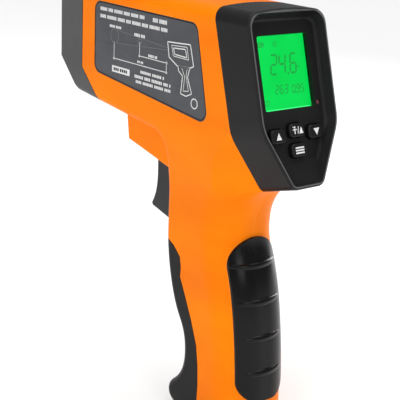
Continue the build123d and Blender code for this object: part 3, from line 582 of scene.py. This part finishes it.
def key_marks():
    """White symbols on the four keys: up, lamp and ray, down, and menu lines."""
    x, u = KEY_PLACES["button_up"]
    up = [[(x - 1.5, u - 1.4), (x + 1.5, u - 1.4), (x, u + 1.5)]]
    x, u = KEY_PLACES["button_down"]
    down = [[(x + 1.6, u + 1.3), (x - 1.6, u + 1.3), (x, u - 1.6)]]
    x, u = KEY_PLACES["button_light"]
    light = [
        [(x - 1.6, u + 0.5), (x - 2.1, u + 1.6), (x - 1.0, u + 1.6)],
        stroke((x - 2.7, u + 0.3), (x - 0.5, u + 0.3), 0.45),
        stroke((x - 1.6, u + 0.5), (x - 1.6, u - 1.5), 0.5),
        stroke((x - 2.6, u + 1.6), (x - 2.2, u + 1.1), 0.35),
        stroke((x + 0.0, u - 1.5), (x + 0.6, u + 1.5), 0.35),
        [(x + 0.8, u - 1.5), (x + 3.1, u - 1.5), (x + 2.0, u + 1.3)],
    ]
    x, u = KEY_PLACES["button_menu"]
    menu = [stroke((x - 2.4, u + rise), (x + 2.4, u + rise), 0.62) for rise in (-1.1, 0.0, 1.1)]
    shapes = {"button_up": up, "button_light": light, "button_down": down, "button_menu": menu}
    for label, marks in shapes.items():
        plate(label + "_mark", marks, key_surface, key_ink, label + "_body", 0.06)


# Outer face of the labels, and the middle of the painted gap shadow round each of them along Y and Z
LABEL_X = 21.85
LABEL = [(92.4, 186.4), (16.3, 185.6), (6.7, 144.6), (92.2, 153.6)]
LABEL_CORNER = 4.2
PRINT_THICK = 0.02
GAP_SHADOW_THICK = 0.015

# Greeked text: each line's start, end, foot and head, letters in its words, gap and letter pitch
GREEKED_LINES = [
    (88.2, 52.0, 182.6, 184.2, (6, 4, 7, 5), 0.9, 0.95),
    (47.2, 35.4, 182.4, 184.2, (4, 6), 0.9, 0.95),
    (88.2, 35.7, 179.2, 180.8, (5, 8, 6, 4, 7), 0.9, 0.95),
    (80.4, 71.2, 175.7, 176.9, (4, 4), 0.6, 1.1),
    (60.8, 52.0, 174.2, 175.6, (4, 4), 0.6, 1.1),
    (49.8, 42.3, 166.4, 167.6, (4, 3), 0.5, 1.05),
    (58.0, 53.2, 162.5, 163.5, (2, 2), 0.5, 1.05),
    (55.4, 36.9, 158.0, 159.3, (7, 6), 0.9, 1.15),
    (59.8, 32.0, 155.4, 156.8, (6, 4, 7, 3), 0.9, 1.12),
    (58.8, 32.4, 153.1, 154.4, (4, 7, 6), 0.9, 1.12),
]
# Share of a letter's pitch that is inked, and the share that has to fit before the line's end
LETTER_INK = 0.74
LETTER_ROOM = 0.75


def raised(surface, extra):
    """The same surface, a little further out."""
    return lambda a, b, height: surface(a, b, height + extra)


def rounded(corners, radius, steps=6):
    """Closed outline with its corners rounded off."""
    points = []
    count = len(corners)
    for i in range(count):
        here = Vector(corners[i])
        before = (Vector(corners[i - 1]) - here).normalized()
        after = (Vector(corners[(i + 1) % count]) - here).normalized()
        half = before.angle(after) / 2
        middle = here + (before + after).normalized() * (radius / sin(half))
        start = here + before * (radius / tan(half)) - middle
        end = here + after * (radius / tan(half)) - middle
        for k in range(steps + 1):
            blend = start.lerp(end, k / steps).normalized() * radius
            points.append(tuple(middle + blend))
    return points


def left_label_surface(y, z, height):
    return mm(-LABEL_X - height, y, z)


def right_label_surface(y, z, height):
    return mm(LABEL_X + height, y, z)


def word_bars(start, end, low, high, words, gap, letter):
    """A greeked line of text from start down to end, made of letter-sized bars in words."""
    bars = []
    place = start
    step = 0
    while place - letter > end:
        for _ in range(words[step % len(words)]):
            if place - letter * LETTER_ROOM <= end:
                break
            far = place - letter * LETTER_INK
            bars.append([(place, low), (far, low), (far, high), (place, high)])
            place -= letter
        place -= gap
        step += 1
    return bars


def label_marks(name, surface):
    """Beam diagram with its dimension lines, greeked text and an outline of the thermometer."""
    white = []
    for line in GREEKED_LINES:
        white += word_bars(*line)
    near, middle, far = 36.3, 56.5, 76.5
    low, high = 161.6, 165.8
    white.append(stroke((far, 169.4), (far, low), 0.35))
    white.append(stroke((middle, 172.0), (middle, 165.7), 0.35))
    white.append(stroke((near, 166.2), (near, 161.5), 0.35))
    white.append(stroke((far, low), (near, low), 0.35))
    white.append(stroke((middle, high), (near, high), 0.35))
    for y, z in ((far, low), (middle, high), (near, low), (near, high)):
        white.append(disc(y, z, 0.65))
    white.append([(77.9, 155.2), (63.8, 155.2), (63.8, 158.2), (77.9, 158.2)])
    head = [(36.0, 175.3), (20.1, 176.3), (17.4, 167.4), (19.6, 166.4), (28.6, 165.8), (34.6, 168.8)]
    frame_line = [(33.0, 174.2), (22.4, 174.9), (20.9, 169.6), (31.6, 169.7)]
    screen = [(31.7, 173.2), (23.4, 173.8), (22.2, 170.4), (30.7, 170.6)]
    handle_front = [(28.0, 165.8), (27.6, 163.9), (24.7, 162.0), (25.6, 154.2)]
    handle_rear = [(21.9, 153.7), (18.0, 155.4), (21.2, 162.0), (19.9, 166.3)]
    core = [(25.4, 165.4), (23.2, 162.0), (23.9, 155.6), (20.2, 156.2), (22.2, 162.4), (21.8, 165.4)]
    white += path(head, 0.5)
    white += path(frame_line, 0.3)
    white += path(screen, 0.45)
    white += path(handle_front + handle_rear, 0.45)
    white += path(core, 0.28, closed=False)
    white += ring(16.0, 151.5, 2.1, 0.5, 24)
    faint = ring(76.3, 172.0, 3.2, 0.3, 28)
    faint += [stroke((76.5, 175.2), (36.0, 172.6), 0.22), stroke((76.5, 168.8), (36.0, 171.6), 0.22)]
    faint += ring(56.5, 172.1, 1.4, 0.25, 18)
    dark = word_bars(76.6, 65.2, 156.0, 157.4, (3, 4), 0.6, 1.5)
    on_white = raised(surface, PRINT_THICK)
    # Painted shadow of the gap round each label: a dark line along its rounded outline
    gap_shadow = path(rounded(LABEL, LABEL_CORNER), 0.55)
    plate(name + "_print", white, surface, white_ink, "case", PRINT_THICK)
    plate(name + "_dark_print", dark, on_white, dark_ink_and_painted_shade, "case", PRINT_THICK)
    plate(name + "_border", gap_shadow, surface, dark_ink_and_painted_shade, "case", GAP_SHADOW_THICK)
    plate(name + "_faint_print", faint, surface, grey_ink, "case", PRINT_THICK)


lcd_marks()
screw_recess_shade()
key_marks()
label_marks("left_label", left_label_surface)
label_marks("right_label", right_label_surface)

# ---------------------------------------------------------------- floor, light and camera

# Metres: half the floor's side, the gap under the part, and the point that the lights aim at
FLOOR_HALF = 6.0
FLOOR_GAP = 0.0002
LIT_POINT = (0, 0.04, 0.1)

# Name, place and size in metres, and power in watts
AREA_LIGHTS = [
    ("key", (-1.0, -0.25, 0.55), (0.6, 0.6), 3.6),
    ("rim", (0.85, 0.12, 0.33), (0.25, 0.6), 4.5),
    ("back", (-0.25, -1.1, 0.5), (0.4, 0.4), 1.8),
]
WORLD_ON_PART = 0.3
WORLD_SEEN = 1.0
OVERHEAD_POWER = 2.2
OVERHEAD_ANGLE = 70

# Place in millimetres, turn about X, Y and Z in degrees, focal length and sensor width
CAMERA_PLACE = (-310.6, -336.7, 249.2)
CAMERA_TURN = (72.83, -2.49, -39.09)
CAMERA_LENS = 97.4
CAMERA_SENSOR = 36.0


def floor():
    """Pale floor just under the part."""
    mesh = bpy.data.meshes.new("floor")
    half = FLOOR_HALF
    corners = [(-half, -half, 0), (half, -half, 0), (half, half, 0), (-half, half, 0)]
    mesh.from_pydata(corners, [], [(0, 1, 2, 3)])
    plane = bpy.data.objects.new("floor", mesh)
    bpy.context.collection.objects.link(plane)
    plane.location.z = cad_box[0][2] - FLOOR_GAP
    shade = Shade("floor_paper")
    tint = shade.mix(shade.noise(3, 4), (0.93, 0.93, 0.93), (0.97, 0.97, 0.97))
    shade.feed("Base Color", tint)
    shade.shader.inputs["Roughness"].default_value = 0.8
    mesh.materials.append(shade.material)


def area_light(name, place, size, power):
    """Rectangular light aimed at the part."""
    light = bpy.data.lights.new(name, "AREA")
    light.shape = "RECTANGLE"
    light.size, light.size_y = size
    light.energy = power
    holder = bpy.data.objects.new(name, light)
    bpy.context.collection.objects.link(holder)
    holder.location = place
    aim = Vector(LIT_POINT) - Vector(place)
    holder.rotation_euler = aim.to_track_quat("-Z", "Y").to_euler()


def lights():
    """Bright surround for the camera, soft top light on the floor, and lights round the part."""
    world = bpy.data.worlds.new("studio")
    bpy.context.scene.world = world
    world.use_nodes = True
    tree = world.node_tree
    background = tree.nodes["Background"]
    background.inputs["Color"].default_value = (1, 1, 1, 1)
    seen = tree.nodes.new("ShaderNodeLightPath")
    strength = tree.nodes.new("ShaderNodeMapRange")
    strength.inputs["To Min"].default_value = WORLD_ON_PART
    strength.inputs["To Max"].default_value = WORLD_SEEN
    tree.links.new(seen.outputs["Is Camera Ray"], strength.inputs["Value"])
    tree.links.new(strength.outputs["Result"], background.inputs["Strength"])
    overhead = bpy.data.lights.new("overhead", "SUN")
    overhead.energy = OVERHEAD_POWER
    overhead.angle = radians(OVERHEAD_ANGLE)
    bpy.context.collection.objects.link(bpy.data.objects.new("overhead", overhead))
    for light in AREA_LIGHTS:
        area_light(*light)


def camera():
    """Camera behind the part, to its left and a little above it."""
    data = bpy.data.cameras.new("camera")
    data.sensor_width = CAMERA_SENSOR
    data.lens = CAMERA_LENS
    eye = bpy.data.objects.new("camera", data)
    bpy.context.collection.objects.link(eye)
    turn = Euler([radians(angle) for angle in CAMERA_TURN])
    eye.matrix_world = Matrix.Translation(mm(*CAMERA_PLACE)) @ turn.to_matrix().to_4x4()
    data.clip_start = 0.01
    data.clip_end = 20.0
    bpy.context.scene.camera = eye


floor()
lights()
camera()
bpy.context.scene.view_settings.view_transform = "Standard"
